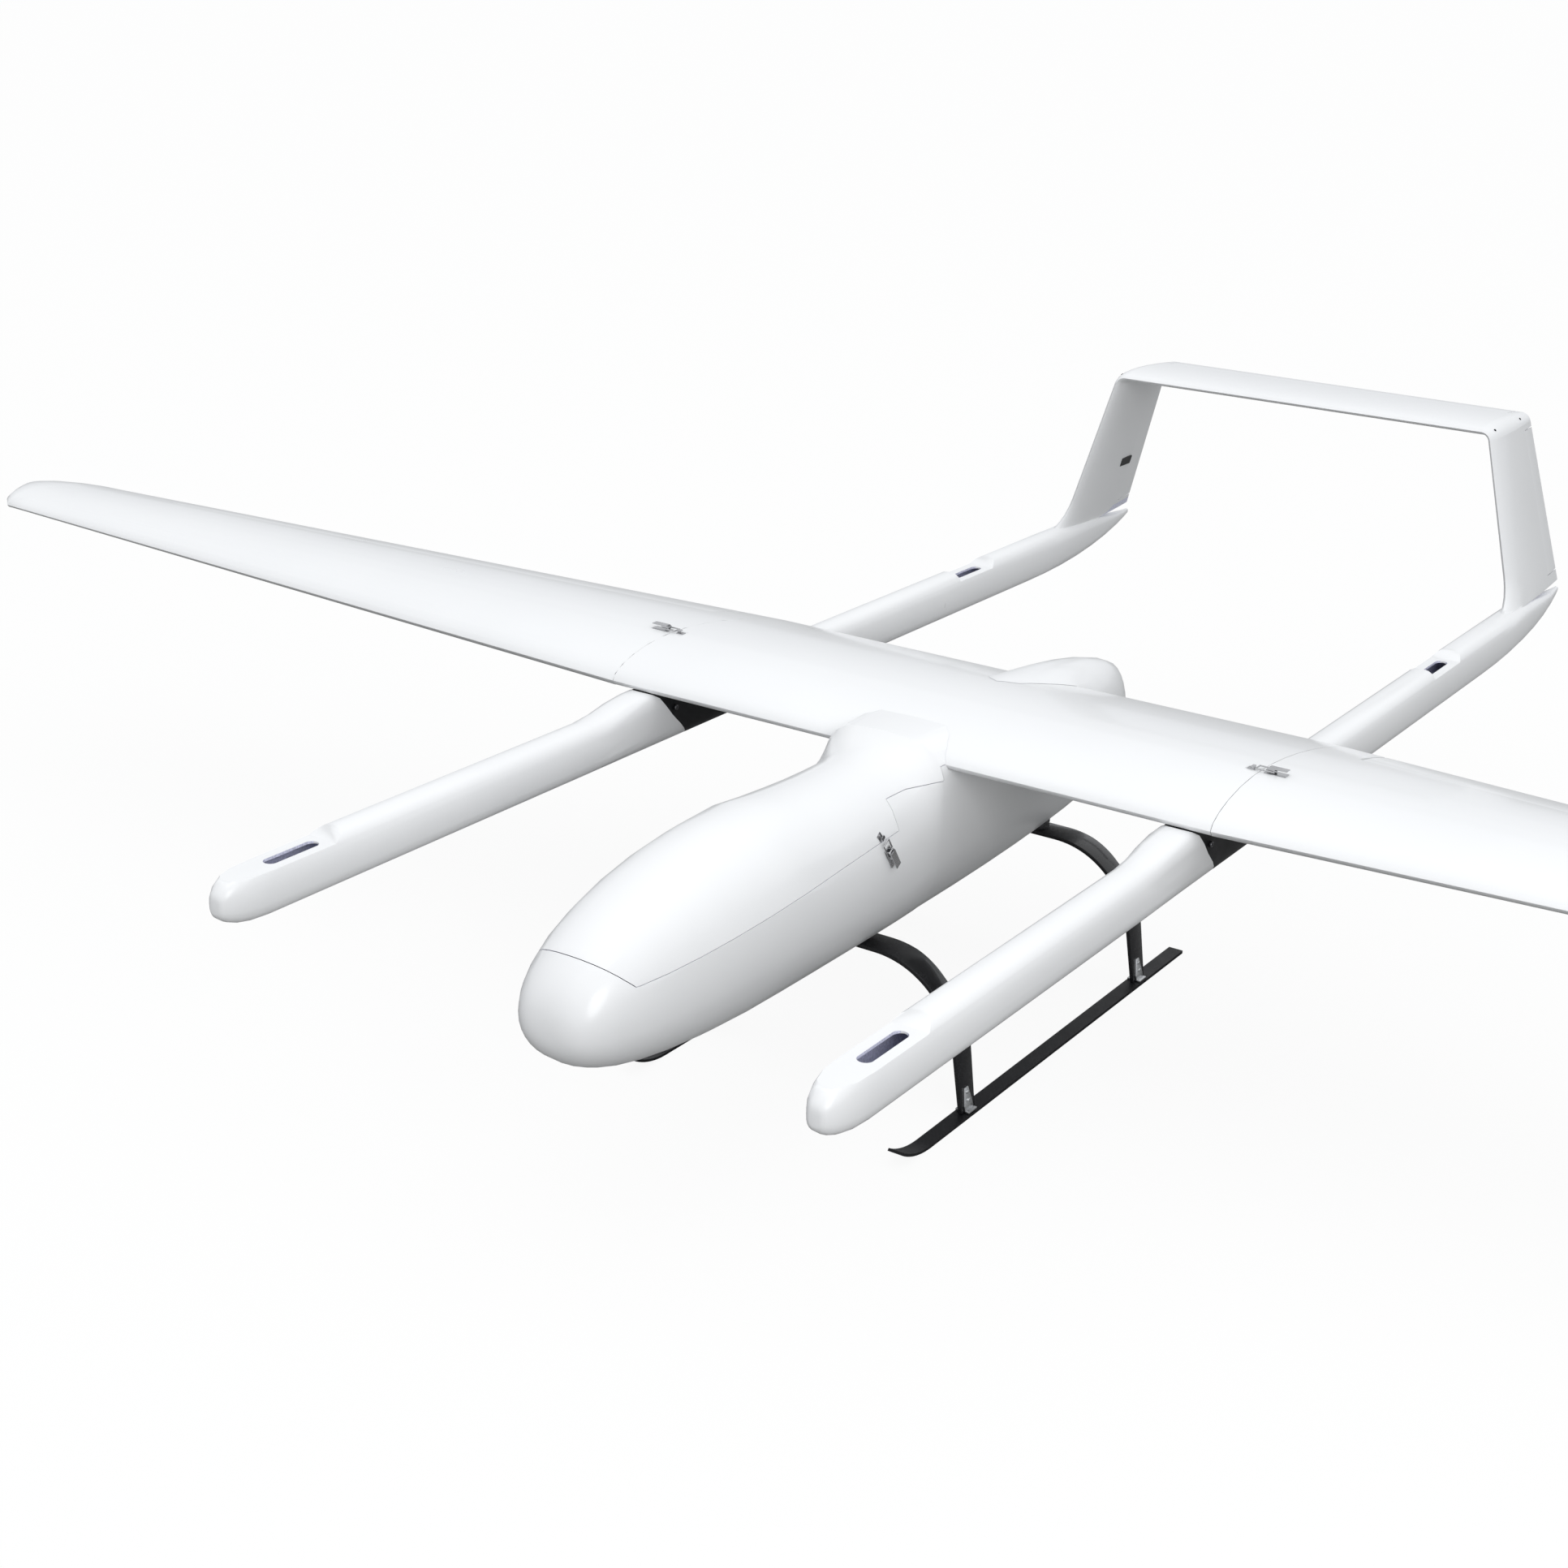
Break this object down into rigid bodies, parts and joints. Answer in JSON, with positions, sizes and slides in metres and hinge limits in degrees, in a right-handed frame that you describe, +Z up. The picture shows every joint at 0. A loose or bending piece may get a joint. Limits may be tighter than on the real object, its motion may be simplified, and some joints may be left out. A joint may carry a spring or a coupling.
{
  "type": "fixed wing drone",
  "caption": "Twin-boom fixed wing drone airframe with lift-rotor pads, an inverted-U tail, hinged control surfaces, a latched hatch and skid gear.",
  "frame": {"origin": "middle of the airframe's box, at the ground under the skids", "axes": "+X to the aircraft's left wing tip, +Y aft, +Z up"},
  "size_m": [4, 2.53, 0.7466],
  "materials": {
    "gelcoat": "white gelcoat, glossy",
    "carbon": "black carbon laminate, satin",
    "aluminium": "milled",
    "steel": "bright stamped steel",
    "plywood": "light plywood",
    "pack_wrap": "shrink wrap",
    "black_plastic": "moulded"
  },
  "bodies": {
    "airframe": {"fuselage_shell": "gelcoat", "formers": "plywood", "equipment_tray": "plywood", "battery_packs": "pack_wrap", "autopilot": "black_plastic", "firewall": "carbon", "wing_centre": "gelcoat", "centre_ribs": "plywood", "spar_tubes": "carbon", "left_wing": "gelcoat", "right_wing": "gelcoat", "panel_ribs": "plywood", "wing_servos": "black_plastic", "servo_covers": "gelcoat", "left_front_boom": "gelcoat", "right_front_boom": "gelcoat", "left_boom_carrier": "carbon", "right_boom_carrier": "carbon", "boom_tubes": "carbon", "left_tail_boom": "gelcoat", "right_tail_boom": "gelcoat", "fin_plates": "black_plastic", "fin_caps": "gelcoat", "stabilizer": "gelcoat", "elevator_servo": "black_plastic", "hinge_pins": "steel", "gear_saddles": "carbon", "front_gear_bow": "carbon", "rear_gear_bow": "carbon", "left_skid": "carbon", "right_skid": "carbon", "skid_brackets": "aluminium", "latch_bases": "steel", "wing_hooks": "steel"},
    "hatch": {"front_hatch": "gelcoat", "hatch_hooks": "steel"},
    "left_aileron": {"left_aileron": "gelcoat"},
    "left_servo_arm": {"left_servo_arm": "black_plastic"},
    "left_pushrod": {"left_pushrod": "steel"},
    "left_rudder": {"left_rudder": "gelcoat"},
    "left_hatch_lever": {"left_hatch_lever": "steel"},
    "left_hatch_bail": {"left_hatch_bail": "steel"},
    "left_wing_lever": {"left_wing_lever": "steel"},
    "left_wing_bail": {"left_wing_bail": "steel"},
    "right_aileron": {"right_aileron": "gelcoat"},
    "right_servo_arm": {"right_servo_arm": "black_plastic"},
    "right_pushrod": {"right_pushrod": "steel"},
    "right_rudder": {"right_rudder": "gelcoat"},
    "right_hatch_lever": {"right_hatch_lever": "steel"},
    "right_hatch_bail": {"right_hatch_bail": "steel"},
    "right_wing_lever": {"right_wing_lever": "steel"},
    "right_wing_bail": {"right_wing_bail": "steel"},
    "elevator": {"elevator": "gelcoat"},
    "elevator_arm": {"elevator_arm": "black_plastic"},
    "elevator_pushrod": {"elevator_pushrod": "steel"}
  },
  "joints": [
    {"name": "hatch_lift", "type": "slide", "parent": "airframe", "child": "hatch", "axis": [0, 0, 1], "range_m": [0, 0.2]},
    {"name": "left_aileron_hinge", "type": "hinge", "parent": "airframe", "child": "left_aileron", "pos_m": [0.895, -0.07593, 0.4639], "axis": [0.9923, -0.1212, 0.0243], "range_deg": [-25, 25]},
    {"name": "left_servo_turn", "type": "hinge", "parent": "airframe", "child": "left_servo_arm", "pos_m": [0.88336, -0.17122, 0.4639], "axis": [0.9923, -0.1212, 0.0243], "range_deg": [-25, 25]},
    {"name": "left_rod_pivot", "type": "hinge", "parent": "left_servo_arm", "child": "left_pushrod", "pos_m": [0.88394, -0.17129, 0.43991], "axis": [0.9923, -0.1212, 0.0243], "range_deg": [-25, 25]},
    {"name": "right_aileron_hinge", "type": "hinge", "parent": "airframe", "child": "right_aileron", "pos_m": [-0.895, -0.07593, 0.4639], "axis": [0.9923, 0.1212, -0.0243], "range_deg": [-25, 25]},
    {"name": "right_servo_turn", "type": "hinge", "parent": "airframe", "child": "right_servo_arm", "pos_m": [-0.88336, -0.17122, 0.4639], "axis": [0.9923, 0.1212, -0.0243], "range_deg": [-25, 25]},
    {"name": "right_rod_pivot", "type": "hinge", "parent": "right_servo_arm", "child": "right_pushrod", "pos_m": [-0.88394, -0.17129, 0.43991], "axis": [0.9923, 0.1212, -0.0243], "range_deg": [-25, 25]},
    {"name": "elevator_hinge", "type": "hinge", "parent": "airframe", "child": "elevator", "pos_m": [0.06, 1.17528, 0.736], "axis": [1, 0, 0], "range_deg": [-25, 25]},
    {"name": "elevator_servo_turn", "type": "hinge", "parent": "airframe", "child": "elevator_arm", "pos_m": [0.06, 1.10928, 0.736], "axis": [1, 0, 0], "range_deg": [-25, 25]},
    {"name": "elevator_rod_pivot", "type": "hinge", "parent": "elevator_arm", "child": "elevator_pushrod", "pos_m": [0.06, 1.10928, 0.719], "axis": [1, 0, 0], "range_deg": [-25, 25]},
    {"name": "left_rudder_hinge", "type": "hinge", "parent": "airframe", "child": "left_rudder", "pos_m": [0.40414, 1.18791, 0.58046], "axis": [-0.2646, -0.0853, 0.9606], "range_deg": [-25, 25]},
    {"name": "right_rudder_hinge", "type": "hinge", "parent": "airframe", "child": "right_rudder", "pos_m": [-0.40414, 1.18791, 0.58046], "axis": [0.2646, -0.0853, 0.9606], "range_deg": [-25, 25]},
    {"name": "left_hatch_lever_turn", "type": "hinge", "parent": "airframe", "child": "left_hatch_lever", "pos_m": [0.10512, -0.556, 0.37771], "axis": [0.0669, -0.8829, -0.4647], "range_deg": [0, 150]},
    {"name": "left_hatch_bail_turn", "type": "hinge", "parent": "left_hatch_lever", "child": "left_hatch_bail", "pos_m": [0.10494, -0.55295, 0.37189], "axis": [0.0669, -0.8829, -0.4647], "range_deg": [-150, 0]},
    {"name": "right_hatch_lever_turn", "type": "hinge", "parent": "airframe", "child": "right_hatch_lever", "pos_m": [-0.10512, -0.556, 0.37771], "axis": [0.0669, 0.8829, 0.4647], "range_deg": [0, 150]},
    {"name": "right_hatch_bail_turn", "type": "hinge", "parent": "right_hatch_lever", "child": "right_hatch_bail", "pos_m": [-0.10494, -0.55295, 0.37189], "axis": [0.0669, 0.8829, 0.4647], "range_deg": [-150, 0]},
    {"name": "left_wing_lever_turn", "type": "hinge", "parent": "airframe", "child": "left_wing_lever", "pos_m": [0.507, -0.23991, 0.49982], "axis": [0, -1, 0], "range_deg": [0, 150]},
    {"name": "left_wing_bail_turn", "type": "hinge", "parent": "left_wing_lever", "child": "left_wing_bail", "pos_m": [0.5135, -0.23991, 0.49882], "axis": [0, -1, 0], "range_deg": [-150, 0]},
    {"name": "right_wing_lever_turn", "type": "hinge", "parent": "airframe", "child": "right_wing_lever", "pos_m": [-0.507, -0.23991, 0.49982], "axis": [0, 1, 0], "range_deg": [0, 150]},
    {"name": "right_wing_bail_turn", "type": "hinge", "parent": "right_wing_lever", "child": "right_wing_bail", "pos_m": [-0.5135, -0.23991, 0.49882], "axis": [0, 1, 0], "range_deg": [-150, 0]}
  ],
  "couplings": [
    {"joint": "left_servo_turn", "follows": "left_aileron_hinge", "ratio": 1},
    {"joint": "left_rod_pivot", "follows": "left_aileron_hinge", "ratio": -1},
    {"joint": "right_servo_turn", "follows": "right_aileron_hinge", "ratio": 1},
    {"joint": "right_rod_pivot", "follows": "right_aileron_hinge", "ratio": -1},
    {"joint": "elevator_servo_turn", "follows": "elevator_hinge", "ratio": 1},
    {"joint": "elevator_rod_pivot", "follows": "elevator_hinge", "ratio": -1},
    {"joint": "left_hatch_bail_turn", "follows": "left_hatch_lever_turn", "ratio": -1},
    {"joint": "right_hatch_bail_turn", "follows": "right_hatch_lever_turn", "ratio": -1},
    {"joint": "left_wing_bail_turn", "follows": "left_wing_lever_turn", "ratio": -1},
    {"joint": "right_wing_bail_turn", "follows": "right_wing_lever_turn", "ratio": -1}
  ]
}
